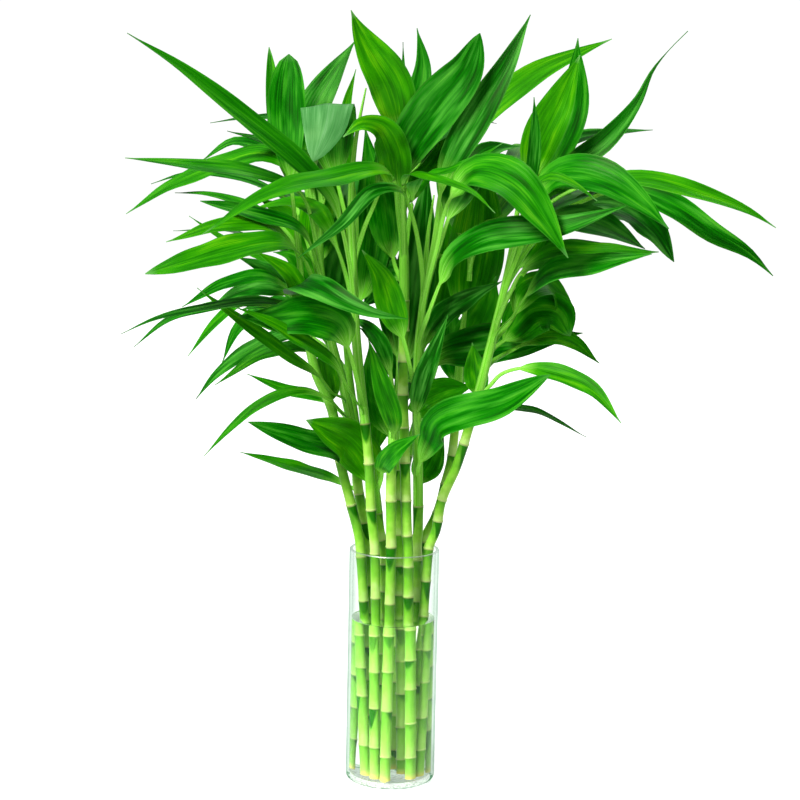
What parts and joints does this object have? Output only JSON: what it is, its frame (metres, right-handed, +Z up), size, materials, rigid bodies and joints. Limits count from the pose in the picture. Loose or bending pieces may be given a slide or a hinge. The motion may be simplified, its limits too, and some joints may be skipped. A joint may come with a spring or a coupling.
{
  "type": "lucky bamboo in a glass vase",
  "caption": "Leafy bundle of ringed green canes standing in a clear glass cylinder of water, with long pointed leaves that arch out into a wide crown",
  "frame": {"origin": "The centre of the vase's flat underside, on the surface that the vase stands on", "axes": "+Z up along the vase's axis, the plant's front faces -Y, +X is to the right as seen from the front; in metres"},
  "size_m": [0.5824, 0.4073, 0.6911],
  "materials": {
    "glass": "polished",
    "water": "polished",
    "cane": "satin",
    "leaf": "satin"
  },
  "bodies": {
    "root": {"glass_vase": "glass", "water": "water", "cane_01": "cane", "cane_02": "cane", "cane_03": "cane", "cane_04": "cane", "cane_05": "cane", "cane_06": "cane", "cane_07": "cane", "cane_08": "cane", "cane_09": "cane", "cane_10": "cane", "cane_11": "cane", "cane_12": "cane", "shoot_01": "leaf", "shoot_02": "leaf", "shoot_03": "leaf", "shoot_04": "leaf", "shoot_05": "leaf", "shoot_06": "leaf", "shoot_07": "leaf", "shoot_08": "leaf", "shoot_09": "leaf", "shoot_10": "leaf", "shoot_11": "leaf", "shoot_12": "leaf"}
  },
  "joints": []
}
